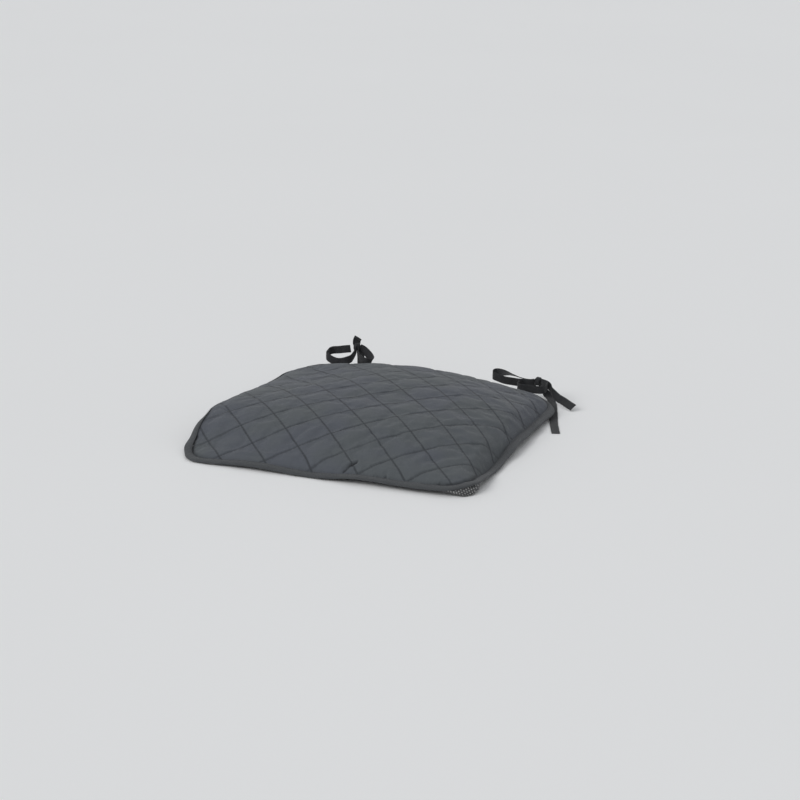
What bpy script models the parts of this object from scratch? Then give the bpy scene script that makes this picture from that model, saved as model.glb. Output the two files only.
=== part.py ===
"""Tied seat pad: a crowned, quilted cushion for a chair, with a tape tie at each rear corner.

The pad lies on the plane z = 0 with its front towards -Y. Its upper side is a quilted panel of
cloth, wadding and lining over a fibre cushion, its underside is a non-slip knit, and a folded
binding holds all of them in the seam round the edge. At each rear corner a tape is sewn on by
its middle, goes round a chair post on both sides and is tied behind it in a half bow. The
posts themselves are not modelled.
"""
import math

import bmesh
import bpy
from mathutils import Vector

# ---------------------------------------------------------------- driving dimensions, metres
pad_width = 0.460
pad_depth = 0.450
corner_radius = 0.050
crown_height = 0.058

# the underside of the rim: low in front, lifted by the ties behind
rim_front = 0.0030
rim_rear = 0.0240
rim_bend = 1.6

# plies
backing_thickness = 0.0010
lining_thickness = 0.0003
wadding_thickness = 0.0050
cover_thickness = 0.0010
# wadding, cover and backing where the seam presses them flat
seam_ply_thickness = 0.0008
ply_gap = 0.0003

# binding: a tape folded over the edge
binding_thickness = 0.0007
binding_leg = 0.013
binding_fold = 0.0030

# from the seam, the upper side rises to the crown over this distance, and the underside
# comes down to rest; each side of the pad then takes its own share of the distance
# the seam is this much wider than the binding's leg
seam_margin = 0.0015
crown_reach = 0.155
rest_reach = 0.040
front_share = 1.40
side_share = 0.65
rear_share = 0.65
crown_power = 2.2
corner_growth = 0.35

# sewing
thread_thickness = 0.0005
# from the leg's inner edge to the line of stitching
edge_stitch_margin = 0.0025
edge_stitch_width = 0.0009
quilt_pitch = 0.0505
quilt_turn = math.radians(-1.5)
quilt_line_width = 0.0011
quilt_line_step = 0.018
quilt_clearance = 0.0015
shortest_stitch_run = 0.004
smallest_cell = 0.0001

# ties
left_tie_x = -0.150
right_tie_x = 0.172
tape_width = 0.0125
tape_thickness = 0.0010
tape_step = 0.0028
knot_size = (0.0150, 0.0140, 0.0150)
tack_width = 0.0030
tack_height = 0.0070

corner_segments = 6
side_segments = 4
crown_rings = 6

# ---------------------------------------------------------------- colours and finishes
FINISHES = {
    "cover_cloth": ((0.092, 0.103, 0.112), 0.78),
    "binding_cloth": ((0.070, 0.075, 0.080), 0.80),
    "backing_knit": ((0.240, 0.245, 0.250), 0.70),
    "lining_cloth": ((0.600, 0.600, 0.590), 0.85),
    "wadding_fibre": ((0.850, 0.850, 0.830), 0.95),
    "cushion_fibre": ((0.780, 0.770, 0.740), 0.95),
    "sewing_thread": ((0.045, 0.050, 0.055), 0.60),
    "tie_tape": ((0.030, 0.031, 0.034), 0.75),
}


# ---------------------------------------------------------------- helpers
def clear_scene():
    for thing in list(bpy.data.objects):
        bpy.data.objects.remove(thing, do_unlink=True)


def new_collection(name):
    collection = bpy.data.collections.new(name)
    bpy.context.scene.collection.children.link(collection)
    return collection


def finish(name):
    material = bpy.data.materials.get(name)
    if material is None:
        colour, roughness = FINISHES[name]
        material = bpy.data.materials.new(name)
        material.use_nodes = True
        shader = material.node_tree.nodes["Principled BSDF"]
        shader.inputs["Base Color"].default_value = (*colour, 1.0)
        shader.inputs["Roughness"].default_value = roughness
        shader.inputs["Metallic"].default_value = 0.0
        material.diffuse_color = (*colour, 1.0)
    return material


def place(name, mesh, finish_name, collection):
    part = bpy.data.objects.new(name, mesh)
    part.data.materials.append(finish(finish_name))
    collection.objects.link(part)
    return part


def move_to(part, collection):
    for holder in list(part.users_collection):
        holder.objects.unlink(part)
    collection.objects.link(part)


def split(points, quad):
    """Two triangles for a quad, by its shorter diagonal in plan, so that plies lie parallel."""
    def diagonal(one, two):
        ends = sorted((points[one][:2], points[two][:2]))
        return round(math.dist(*ends), 7), ends
    a, b, c, d = quad
    if diagonal(a, c) <= diagonal(b, d):
        return [(a, b, c), (a, c, d)]
    return [(b, c, d), (b, d, a)]


def loft(name, rings, ring_closes=False):
    """Skin through equal rings of points: capped at both ends, or closed into a loop."""
    count = len(rings[0])
    points = [tuple(point) for ring in rings for point in ring]
    faces = []
    joins = len(rings) if ring_closes else len(rings) - 1
    for k in range(joins):
        low = k * count
        high = (k + 1) % len(rings) * count
        for i in range(count):
            j = (i + 1) % count
            faces += split(points, (low + i, low + j, high + j, high + i))
    if not ring_closes:
        faces.append(tuple(reversed(range(count))))
        faces.append(tuple(range(len(points) - count, len(points))))
    mesh = bpy.data.meshes.new(name)
    mesh.from_pydata(points, [], faces)
    mesh.shade_smooth()
    mesh.set_sharp_from_angle(angle=math.radians(40.0))
    return mesh


# ---------------------------------------------------------------- the pad's form
def seam_width():
    return binding_leg + seam_margin


def ring_shape(inset):
    """Middle, half sizes and corner radius of the rounded rectangle at an inset.

    The seam keeps its width all round. Past it, each side has its own share of the inset
    and the corners grow rounder towards the crown.
    """
    seam = min(inset, seam_width())
    rise = max(inset - seam_width(), 0.0)
    side = seam + rise * side_share
    front = seam + rise * front_share
    rear = seam + rise * rear_share
    half_width = pad_width / 2 - side
    half_depth = (pad_depth - front - rear) / 2
    radius = corner_radius - seam + rise * corner_growth
    radius = min(radius, half_width * 0.95, half_depth * 0.95)
    return (front - rear) / 2, half_width, half_depth, radius


def ring_points(inset):
    """The ring at an inset: four round corners, and points along the left and right sides."""
    middle, half_width, half_depth, radius = ring_shape(inset)
    points = []
    for quarter, (sx, sy) in enumerate(((1, 1), (-1, 1), (-1, -1), (1, -1))):
        for k in range(corner_segments + 1):
            angle = math.radians(90.0) * (quarter + k / corner_segments)
            points.append((sx * (half_width - radius) + radius * math.cos(angle),
                           middle + sy * (half_depth - radius) + radius * math.sin(angle)))
        if quarter in (1, 3):
            for k in range(1, side_segments):
                share = 1.0 - 2.0 * k / side_segments
                points.append((sx * half_width, middle + sy * (half_depth - radius) * share))
    return points


def rim_height(y):
    """Height of the rim's underside: it climbs from the front of the pad to the rear."""
    share = min(max((y + pad_depth / 2) / pad_depth, 0.0), 1.0)
    return rim_front + (rim_rear - rim_front) * share ** rim_bend


def seam_stack():
    """Each ply's lower and upper height over the rim's underside, in the seam."""
    plies = (("backing", seam_ply_thickness), ("quilt_lining", lining_thickness),
             ("quilt_wadding", seam_ply_thickness), ("top_cover", seam_ply_thickness))
    height = binding_thickness + ply_gap
    stack = {}
    for name, thickness in plies:
        stack[name] = (height, height + thickness)
        height += thickness + ply_gap
    return stack


def binding_depth():
    return seam_stack()["top_cover"][1] + ply_gap + binding_thickness


def crown_share(inset):
    share = min(max((inset - seam_width()) / crown_reach, 0.0), 1.0)
    return 1.0 - (1.0 - share) ** crown_power


def rest_share(inset):
    share = min(max((inset - seam_width()) / rest_reach, 0.0), 1.0)
    return math.sin(share * math.pi / 2)


def surface(inset, over_rim, full_height, share):
    """A ring of the pad's form: a height over the rim in the seam, a full height inside."""
    mix = share(inset)
    return [(x, y, (rim_height(y) + over_rim) * (1.0 - mix) + full_height * mix)
            for x, y in ring_points(inset)]


def crown_insets():
    """Insets from the end of the seam to the crown, closer together near the seam."""
    return [seam_width() + crown_reach * (k / crown_rings) ** 1.4 for k in range(crown_rings + 1)]


def ply(name, insets, under, over, collection, finish_name):
    """One ply between two surfaces, each (height over the rim, full height, share)."""
    below = [surface(inset, *under) for inset in insets]
    above = [surface(inset, *over) for inset in insets]
    return place(name, loft(name, below[::-1] + above), finish_name, collection)


def plies(collection):
    """Backing, cushion, lining, wadding and cover, from the bottom up."""
    seam = seam_stack()
    cloth_insets = [binding_fold + ply_gap] + crown_insets()
    core_insets = crown_insets()[1:]

    ply("backing", cloth_insets, (seam["backing"][0], 0.0, rest_share),
        (seam["backing"][1], backing_thickness, rest_share), collection, "backing_knit")

    cover_bottom = crown_height - cover_thickness
    wadding_top = cover_bottom - ply_gap
    wadding_bottom = wadding_top - wadding_thickness
    lining_top = wadding_bottom - ply_gap
    lining_bottom = lining_top - lining_thickness
    for name, bottom, top, finish_name in (
            ("quilt_lining", lining_bottom, lining_top, "lining_cloth"),
            ("quilt_wadding", wadding_bottom, wadding_top, "wadding_fibre"),
            ("top_cover", cover_bottom, crown_height, "cover_cloth")):
        ply(name, cloth_insets, (seam[name][0], bottom, crown_share),
            (seam[name][1], top, crown_share), collection, finish_name)

    ply("cushion_core", core_insets,
        (seam["backing"][1] + ply_gap, backing_thickness + ply_gap, rest_share),
        (seam["quilt_lining"][0] - ply_gap, lining_bottom - ply_gap, crown_share),
        collection, "cushion_fibre")


def swept(name, profile, collection, finish_name):
    """A closed profile of (inset, height over the rim's underside) run round the rim."""
    rings = [[(x, y, rim_height(y) + height) for x, y in ring_points(inset)]
             for inset, height in profile]
    return place(name, loft(name, rings, True), finish_name, collection)


def edge_binding(collection):
    """The binding tape, folded round the edge of the plies, with a leg above and below."""
    high = binding_depth()
    wall = binding_thickness
    fold = min(binding_fold, high / 2 - wall)
    profile = ((binding_leg, 0.0), (fold, 0.0), (fold * 0.3, fold * 0.3), (0.0, fold),
               (0.0, high - fold), (fold * 0.3, high - fold * 0.3), (fold, high),
               (binding_leg, high), (binding_leg, high - wall), (fold, high - wall),
               (wall, high - fold), (wall, fold), (fold, wall), (binding_leg, wall))
    swept("edge_binding", profile, collection, "binding_cloth")


def binding_thread(collection):
    """The line of stitching along the binding, on its upper leg."""
    low = binding_depth() + ply_gap
    high = low + thread_thickness
    outer = binding_leg - edge_stitch_margin
    inner = outer + edge_stitch_width
    profile = ((outer, high), (inner, high), (inner, low), (outer, low))
    swept("binding_thread", profile, collection, "sewing_thread")


# ---------------------------------------------------------------- quilting
def outside_ring(x, y, inset):
    """How far a point is outside the ring at an inset, negative inside it."""
    middle, half_width, half_depth, radius = ring_shape(inset)
    dx = abs(x) - (half_width - radius)
    dy = abs(y - middle) - (half_depth - radius)
    return math.hypot(max(dx, 0.0), max(dy, 0.0)) + min(max(dx, dy), 0.0) - radius


def inset_of(x, y):
    """The inset of the ring that passes through a point, up to the crown."""
    low = 0.0
    high = seam_width() + crown_reach
    if outside_ring(x, y, high) < 0.0:
        return high
    for _ in range(30):
        half = (low + high) / 2
        if outside_ring(x, y, half) < 0.0:
            low = half
        else:
            high = half
    return low


def cover_height(x, y):
    inset = inset_of(x, y)
    mix = crown_share(inset)
    over_rim = rim_height(y) + seam_stack()["top_cover"][1]
    return over_rim * (1.0 - mix) + crown_height * mix


def quilting_thread(collection):
    """The crossing lines of quilting and the line round the seam, one lattice of thread."""
    lattice = bmesh.new()
    edge = [lattice.verts.new((x, y, 0.0)) for x, y in ring_points(seam_width())]
    lattice.faces.new(edge)
    count = int(math.hypot(pad_width, pad_depth) / 2 / quilt_pitch)
    for lean in (-1, 1):
        angle = lean * math.radians(45.0) + quilt_turn
        aside = Vector((-math.sin(angle), math.cos(angle), 0.0))
        for number in range(-count, count + 1):
            bmesh.ops.bisect_plane(lattice, geom=lattice.verts[:] + lattice.edges[:]
                                   + lattice.faces[:], dist=1e-6,
                                   plane_co=aside * (number * quilt_pitch), plane_no=aside)
    bmesh.ops.remove_doubles(lattice, verts=lattice.verts[:], dist=shortest_stitch_run)
    for side in lattice.edges[:]:
        cuts = int(side.calc_length() / quilt_line_step)
        if cuts:
            bmesh.ops.subdivide_edges(lattice, edges=[side], cuts=cuts)
    cells = [cell for cell in lattice.faces if cell.calc_area() > smallest_cell]
    bmesh.ops.inset_individual(lattice, faces=cells, thickness=quilt_line_width / 2)
    bmesh.ops.delete(lattice, geom=cells, context="FACES")
    for point in lattice.verts:
        point.co.z = cover_height(point.co.x, point.co.y) + quilt_clearance
    mesh = bpy.data.meshes.new("quilting_thread")
    lattice.to_mesh(mesh)
    lattice.free()
    thread = place("quilting_thread", mesh, "sewing_thread", collection)
    body = thread.modifiers.new("thread", "SOLIDIFY")
    body.thickness = thread_thickness
    body.offset = 1.0
    return thread


# ---------------------------------------------------------------- the ties
# Each route is a list of points from its corner's anchor, which is on the ground below the
# pad's rear edge in front of the middle of the post, with the direction across the tape.
UP = (0.0, 0.0, 1.0)

LEFT_BAND = (
    ((0.0110, 0.0300, 0.0500), UP), ((0.0020, 0.0290, 0.0485), UP),
    ((-0.0090, 0.0287, 0.0465), UP), ((-0.0185, 0.0275, 0.0450), UP),
    ((-0.0222, 0.0225, 0.0440), UP), ((-0.0224, 0.0140, 0.0428), UP),
    ((-0.0214, 0.0060, 0.0412), UP), ((-0.0165, 0.0018, 0.0395), UP),
    ((-0.0080, 0.0009, 0.0362), UP), ((0.0000, 0.0009, 0.0345), UP),
    ((0.0080, 0.0009, 0.0355), UP), ((0.0165, 0.0018, 0.0385), UP),
    ((0.0214, 0.0060, 0.0405), UP), ((0.0224, 0.0130, 0.0435), UP),
    ((0.0222, 0.0195, 0.0460), UP),
)
LEFT_KNOT = (0.0210, 0.0330, 0.0530)
LEFT_TAIL_UP = (
    ((0.0200, 0.0350, 0.0640), (0.75, 0.25, -0.60)), ((0.0215, 0.0330, 0.0665), (0.75, 0.25, -0.60)),
    ((0.0240, 0.0300, 0.0700), (0.75, 0.25, -0.60)),
)
LEFT_LOOP = (
    ((0.0315, 0.0330, 0.0500), (0.2, 0.25, 1.0)), ((0.0370, 0.0310, 0.0475), (0.5, 0.25, 0.8)),
    ((0.0440, 0.0275, 0.0430), (0.7, 0.25, 0.66)), ((0.0500, 0.0220, 0.0385), (0.6, 0.2, 0.7)),
    ((0.0530, 0.0150, 0.0360), (0.3, 0.0, 1.0)), ((0.0490, 0.0100, 0.0365), (0.0, 0.0, 1.0)),
    ((0.0400, 0.0110, 0.0385), (0.0, 0.0, 1.0)), ((0.0320, 0.0165, 0.0415), (0.0, 0.0, 1.0)),
    ((0.0275, 0.0225, 0.0440), (0.0, 0.0, 1.0)),
)
LEFT_TAIL_BACK = (
    ((0.0215, 0.0415, 0.0490), (1.0, 0.0, 0.0)), ((0.0215, 0.0455, 0.0440), (1.0, 0.0, 0.0)),
    ((0.0210, 0.0490, 0.0340), (1.0, 0.0, 0.0)), ((0.0200, 0.0530, 0.0220), (1.0, 0.0, 0.0)),
    ((0.0180, 0.0580, 0.0110), (1.0, 0.1, 0.0)), ((0.0130, 0.0660, 0.0035), (1.0, 0.5, 0.0)),
    ((0.0030, 0.0760, 0.0008), (0.8, 0.7, 0.0)), ((-0.0120, 0.0850, 0.0008), (0.6, 0.9, 0.0)),
    ((-0.0290, 0.0900, 0.0008), (0.4, 1.0, 0.0)),
)

RIGHT_BAND = (
    ((0.0130, 0.0310, 0.0275), UP), ((0.0185, 0.0285, 0.0275), UP),
    ((0.0222, 0.0225, 0.0270), UP), ((0.0224, 0.0140, 0.0265), UP),
    ((0.0214, 0.0060, 0.0260), UP), ((0.0165, 0.0018, 0.0260), UP),
    ((0.0080, 0.0009, 0.0260), UP), ((0.0000, 0.0009, 0.0260), UP),
    ((-0.0080, 0.0009, 0.0260), UP), ((-0.0165, 0.0018, 0.0260), UP),
    ((-0.0214, 0.0060, 0.0260), UP), ((-0.0224, 0.0140, 0.0262), UP),
    ((-0.0222, 0.0225, 0.0265), UP), ((-0.0180, 0.0285, 0.0265), UP),
    ((-0.0080, 0.0305, 0.0265), UP),
)
RIGHT_KNOT = (0.0025, 0.0370, 0.0290)
RIGHT_LOOP = (
    ((-0.0070, 0.0410, 0.0290), (-0.3, 0.9, -0.3)), ((-0.0180, 0.0430, 0.0285), (-0.3, 0.9, -0.3)),
    ((-0.0300, 0.0450, 0.0295), (-0.3, 0.9, -0.3)), ((-0.0450, 0.0465, 0.0320), (-0.3, 0.8, 0.0)),
    ((-0.0600, 0.0455, 0.0340), (-0.1, 0.6, 0.5)), ((-0.0700, 0.0400, 0.0340), (0.0, 0.2, 1.0)),
    ((-0.0700, 0.0320, 0.0320), UP), ((-0.0620, 0.0290, 0.0300), UP),
    ((-0.0480, 0.0290, 0.0270), UP), ((-0.0330, 0.0325, 0.0250), UP),
    ((-0.0200, 0.0355, 0.0245), UP), ((-0.0085, 0.0370, 0.0245), UP),
)
RIGHT_TAIL_SIDE = (
    ((0.0110, 0.0380, 0.0265), UP), ((0.0180, 0.0375, 0.0245), UP),
    ((0.0245, 0.0335, 0.0215), UP), ((0.0290, 0.0260, 0.0190), UP),
    ((0.0350, 0.0190, 0.0165), (0.2, 0.1, 1.0)), ((0.0440, 0.0120, 0.0130), (0.4, 0.2, 0.9)),
    ((0.0580, 0.0040, 0.0097), (0.7, 0.3, 0.6)), ((0.0730, -0.0060, 0.0063), (0.83, 0.30, 0.46)),
)
RIGHT_TAIL_FRONT = (
    ((0.0040, 0.0455, 0.0240), (-1.0, 0.3, 0.0)), ((0.0060, 0.0500, 0.0170), (-1.0, 0.3, 0.0)),
    ((0.0120, 0.0515, 0.0075), (-1.0, 0.2, 0.0)), ((0.0195, 0.0460, 0.0022), (-1.0, -0.5, 0.0)),
    ((0.0270, 0.0320, 0.0008), (-1.0, -0.4, 0.0)), ((0.0360, 0.0100, 0.0008), (-1.0, -0.3, 0.0)),
    ((0.0430, -0.0120, 0.0008), (-1.0, -0.3, 0.0)), ((0.0500, -0.0340, 0.0008), (-1.0, -0.3, 0.0)),
    ((0.0570, -0.0570, 0.0008), (-1.0, -0.3, 0.0)), ((0.0660, -0.0860, 0.0008), (-1.0, -0.3, 0.0)),
    ((0.0800, -0.1240, 0.0008), (-1.0, -0.4, 0.0)),
)


def through(route, step):
    """Points and cross directions at even steps along a smooth curve through a route."""
    points = [Vector(point) for point, across in route]
    crosses = [Vector(across).normalized() for point, across in route]
    fine = []
    for k in range(len(points) - 1):
        before = points[max(k - 1, 0)]
        start = points[k]
        end = points[k + 1]
        after = points[min(k + 2, len(points) - 1)]
        for t in (i / 12 for i in range(12)):
            point = 0.5 * (2 * start + (end - before) * t
                           + (2 * before - 5 * start + 4 * end - after) * t ** 2
                           + (3 * start - before - 3 * end + after) * t ** 3)
            fine.append((point, crosses[k].lerp(crosses[k + 1], t)))
    fine.append((points[-1], crosses[-1]))
    lengths = [0.0]
    for (one, _), (two, _) in zip(fine, fine[1:]):
        lengths.append(lengths[-1] + (two - one).length)
    count = max(round(lengths[-1] / step), 2)
    even = []
    at = 0
    for k in range(count + 1):
        wanted = lengths[-1] * k / count
        while at < len(fine) - 2 and lengths[at + 1] < wanted:
            at += 1
        share = (wanted - lengths[at]) / (lengths[at + 1] - lengths[at])
        even.append((fine[at][0].lerp(fine[at + 1][0], share),
                     fine[at][1].lerp(fine[at + 1][1], share)))
    return even


def tape(name, route, anchor, collection):
    """A flat tape along a route."""
    stations = through(route, tape_step)
    rings = []
    for k, (point, across) in enumerate(stations):
        ahead = stations[min(k + 1, len(stations) - 1)][0]
        behind = stations[max(k - 1, 0)][0]
        along = (ahead - behind).normalized()
        across = (across - along * across.dot(along)).normalized()
        face = along.cross(across)
        centre = anchor + point
        half = across * (tape_width / 2)
        thick = face * (tape_thickness / 2)
        rings.append((centre - half - thick, centre + half - thick,
                      centre + half + thick, centre - half + thick))
    return place(name, loft(name, rings), "tie_tape", collection)


def knot(name, centre, anchor, collection):
    """The pulled-tight knot of a half bow, as the lump that it makes."""
    bpy.ops.mesh.primitive_uv_sphere_add(segments=16, ring_count=10, radius=0.5,
                                         location=anchor + Vector(centre))
    lump = bpy.context.object
    lump.name = name
    lump.scale = knot_size
    lump.data.materials.append(finish("tie_tape"))
    lump.data.shade_smooth()
    move_to(lump, collection)
    return lump


def bar_tack(name, band_route, anchor, collection):
    """The dense stitching that holds the middle of a tie to the binding."""
    middle = min((point for point, across in band_route), key=lambda point: abs(point[0]))
    behind_tape = middle[1] + tape_thickness / 2 + ply_gap
    bpy.ops.mesh.primitive_cube_add(size=1.0, location=anchor + Vector(
        (middle[0], behind_tape + thread_thickness / 2, middle[2])))
    tack = bpy.context.object
    tack.name = name
    tack.scale = (tack_width, thread_thickness, tack_height)
    tack.data.materials.append(finish("sewing_thread"))
    move_to(tack, collection)
    return tack


def ties(collection):
    rear_edge = pad_depth / 2
    left = Vector((left_tie_x, rear_edge, 0.0))
    right = Vector((right_tie_x, rear_edge, 0.0))
    tapes = (("left_tie_band", LEFT_BAND, left), ("left_tail_up", LEFT_TAIL_UP, left),
             ("left_loop", LEFT_LOOP, left), ("left_tail_back", LEFT_TAIL_BACK, left),
             ("right_tie_band", RIGHT_BAND, right), ("right_loop", RIGHT_LOOP, right),
             ("right_tail_side", RIGHT_TAIL_SIDE, right),
             ("right_tail_front", RIGHT_TAIL_FRONT, right))
    for name, route, anchor in tapes:
        tape(name, route, anchor, collection)
    knot("left_knot", LEFT_KNOT, left, collection)
    knot("right_knot", RIGHT_KNOT, right, collection)
    bar_tack("left_bar_tack", LEFT_BAND, left, collection)
    bar_tack("right_bar_tack", RIGHT_BAND, right, collection)


# ---------------------------------------------------------------- assembly
def main():
    clear_scene()
    pad = new_collection("tied_seat_pad")
    plies(pad)
    edge_binding(pad)
    binding_thread(pad)
    quilting_thread(pad)
    ties(pad)


main()
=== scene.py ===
"""Tied seat pad: its quilted cover, folded binding, dotted backing, stitching and tape ties."""
import math

import bmesh
import bpy
import numpy as np
from mathutils import Matrix, Vector


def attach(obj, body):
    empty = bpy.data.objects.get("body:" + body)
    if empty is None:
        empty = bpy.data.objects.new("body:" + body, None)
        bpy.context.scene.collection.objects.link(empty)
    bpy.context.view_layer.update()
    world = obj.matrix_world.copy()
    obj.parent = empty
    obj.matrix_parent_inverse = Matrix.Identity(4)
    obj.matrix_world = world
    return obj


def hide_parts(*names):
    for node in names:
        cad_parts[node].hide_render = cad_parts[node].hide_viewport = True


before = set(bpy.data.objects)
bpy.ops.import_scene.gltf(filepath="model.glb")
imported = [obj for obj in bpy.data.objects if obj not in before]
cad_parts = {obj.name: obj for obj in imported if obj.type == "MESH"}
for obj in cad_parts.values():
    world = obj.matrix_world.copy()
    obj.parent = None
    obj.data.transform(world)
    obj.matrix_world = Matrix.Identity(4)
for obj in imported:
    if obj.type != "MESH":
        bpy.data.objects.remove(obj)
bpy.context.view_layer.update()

# ---------------------------------------------------------------- sizes of the pad, metres
HALF_WIDTH = 0.230
HALF_DEPTH = 0.225
CORNER = 0.050
SEAM = 0.0145               # the strip round the edge that the binding's seam presses flat
LEG = 0.0130                # each leg of the binding
RIM_DEPTH = 0.0036          # all the plies and the binding, pressed together
REST_HEIGHT = 0.0007        # the backing's middle, just over what the pad lies on
REST_REACH = 0.052          # from the seam, the backing comes down to rest over this distance
QUILT_PITCH = 0.0505
QUILT_TURN = math.radians(-1.5)
QUILT_CENTRE = (-0.008, 0.007)
QUILT_CELLS = 15            # mesh cells between two lines of quilting
COVER_THICKNESS = 0.0009
MOST_PUFF = 0.0046          # as far as the filling can push the cover out
SETTLING_FRAMES = 24

# The crown's guide curves, at these places from front to rear: how high its sewn lines lie in
# the middle and at the two sides, in millimetres, and how full it stays on the way out.
ALONG = (-0.210, -0.175, -0.125, -0.065, 0.0, 0.065, 0.125, 0.165, 0.210)
MIDDLE_MM = (13.5, 26, 42, 53, 57, 60, 58, 53, 45)
LEFT_MM = (5, 8, 26, 36, 30, 24, 18, 16, 17)
RIGHT_MM = (17, 17, 14, 16, 17, 16, 16, 17, 18)
LEFT_FULL = (1.2, 1.3, 1.9, 2.4, 2.4, 1.65, 1.6, 1.8, 2.3)
RIGHT_FULL = (2.5, 2.8, 3.2, 3.7, 4.0, 3.8, 2.6, 1.9, 1.4)

# The edge's crests, dips and corners, anticlockwise from the front right: a place on it, then
# how high the binding's fold and its seam are, and how far in the seam lies, in millimetres.
EDGE_MM = (
    (230, -178, 14, 11.5, 13.5), (230, -120, 7.5, 5, 13), (230, -75, 7, 5.5, 13),
    (230, -5, 12.5, 14, 13.5), (230, 45, 11, 14, 13.5), (230, 90, 11, 12.5, 13.5),
    (230, 160, 8, 12, 13), (215, 210, 10, 16, 11), (178, 225, 15, 22.5, 9), (130, 225, 17, 28, 5),
    (0, 225, 22, 34.5, 3.5), (-130, 225, 22, 34.5, 3.5), (-175, 225, 18, 29, 4.5),
    (-215, 210, 8.5, 19.5, 4.5), (-230, 150, 5, 17, 3), (-230, 65, 11.5, 24, 3),
    (-230, -70, 24, 37, 3.5), (-230, -115, 24.5, 32.5, 9), (-230, -140, 19.5, 26, 11.5),
    (-230, -160, 12, 16, 12.5), (-220, -205, 5.5, 5, 13.5), (-175, -225, 4.5, 4.5, 14),
    (-105, -225, 8, 10, 14), (-20, -225, 4.5, 6, 14), (15, -225, 5.5, 7, 14),
    (62, -225, 11, 11, 14), (145, -225, 9, 10, 14), (192, -224, 11, 12, 13.5),
    (222, -200, 15.5, 14, 13.5),
)

# The camera's place, and its turn to the left, pitch down and roll clockwise in degrees.
CAMERA_PLACE = (1.0445, -2.7027, 0.9391)
CAMERA_TURNS = (20.36, 17.02, 0.66)
FOCAL_LENGTH_MM = 92.24


# ---------------------------------------------------------------- camera, light and floor
def put_in_scene(name, data):
    item = bpy.data.objects.new(name, data)
    bpy.context.scene.collection.objects.link(item)
    return item


def look(location, yaw, pitch, roll):
    """Turns the camera: yaw to the left, pitch down, roll clockwise, in degrees."""
    yaw, pitch, roll = (math.radians(angle) for angle in (yaw, pitch, roll))
    ahead = Vector((-math.sin(yaw) * math.cos(pitch), math.cos(yaw) * math.cos(pitch),
                    -math.sin(pitch)))
    side = Vector((math.cos(yaw), math.sin(yaw), 0.0))
    top = side.cross(ahead)
    right = side * math.cos(roll) + top * math.sin(roll)
    up = top * math.cos(roll) - side * math.sin(roll)
    turn = Matrix((right, up, -ahead)).transposed().to_4x4()
    return Matrix.Translation(location) @ turn


def add_camera():
    lens = bpy.data.cameras.new("camera")
    lens.sensor_width = 36.0
    lens.lens = FOCAL_LENGTH_MM
    lens.clip_end = 60.0
    camera = put_in_scene("camera", lens)
    camera.matrix_world = look(CAMERA_PLACE, *CAMERA_TURNS)
    bpy.context.scene.camera = camera


def add_lamp(name, direction, spread, strength):
    """A far soft lamp that shines from a direction, as broad as its spread in degrees."""
    light = bpy.data.lights.new(name, "SUN")
    light.angle = math.radians(spread)
    light.energy = strength
    lamp = put_in_scene(name, light)
    lamp.location = Vector(direction) * 2
    lamp.rotation_mode = "QUATERNION"
    lamp.rotation_quaternion = (-Vector(direction)).to_track_quat("-Z", "Y")


def add_studio():
    scene = bpy.context.scene
    scene.view_settings.view_transform = "Standard"
    world = bpy.data.worlds.new("studio")
    world.use_nodes = True
    sky = world.node_tree.nodes["Background"]
    sky.inputs["Color"].default_value = (0.96, 0.98, 1.0, 1.0)
    sky.inputs["Strength"].default_value = 0.54
    scene.world = world
    add_lamp("key", (-0.80, -0.95, 0.95), 35.0, 1.15)
    add_lamp("rear", (-0.10, 0.9, 0.9), 60.0, 0.07)
    corners = [(-14, -8, 0), (14, -8, 0), (14, 30, 0), (-14, 30, 0)]
    floor = mesh_piece("studio_floor", corners, [(0, 1, 2, 3)])
    floor.data.materials.append(floor_paint())


# ---------------------------------------------------------------- shader maths
class Socket:
    """A shader value, on which arithmetic adds Math nodes."""

    def __init__(self, finish, output):
        self.finish = finish
        self.output = output

    def math(self, operation, *values):
        return self.finish.node("ShaderNodeMath", {"operation": operation}, *values)

    def __add__(self, other):
        return self.math("ADD", self, other)

    def __radd__(self, other):
        return self.math("ADD", other, self)

    def __sub__(self, other):
        return self.math("SUBTRACT", self, other)

    def __rsub__(self, other):
        return self.math("SUBTRACT", other, self)

    def __mul__(self, other):
        return self.math("MULTIPLY", self, other)

    def __rmul__(self, other):
        return self.math("MULTIPLY", other, self)

    def __truediv__(self, other):
        return self.math("DIVIDE", self, other)

    def __rtruediv__(self, other):
        return self.math("DIVIDE", other, self)

    def sin(self):
        return self.math("SINE", self)

    def root(self):
        return self.math("SQRT", self)

    def size(self):
        return self.math("ABSOLUTE", self)

    def floor(self):
        return self.math("FLOOR", self)

    def least(self, other):
        return self.math("MINIMUM", self, other)

    def most(self, other):
        return self.math("MAXIMUM", self, other)

    def ramp(self, low, high):
        """0 below low and 1 above high, or the other way round, with a smooth step between."""
        return self.finish.node("ShaderNodeMapRange", {"interpolation_type": "SMOOTHSTEP"},
                                self, low, high)


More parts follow.
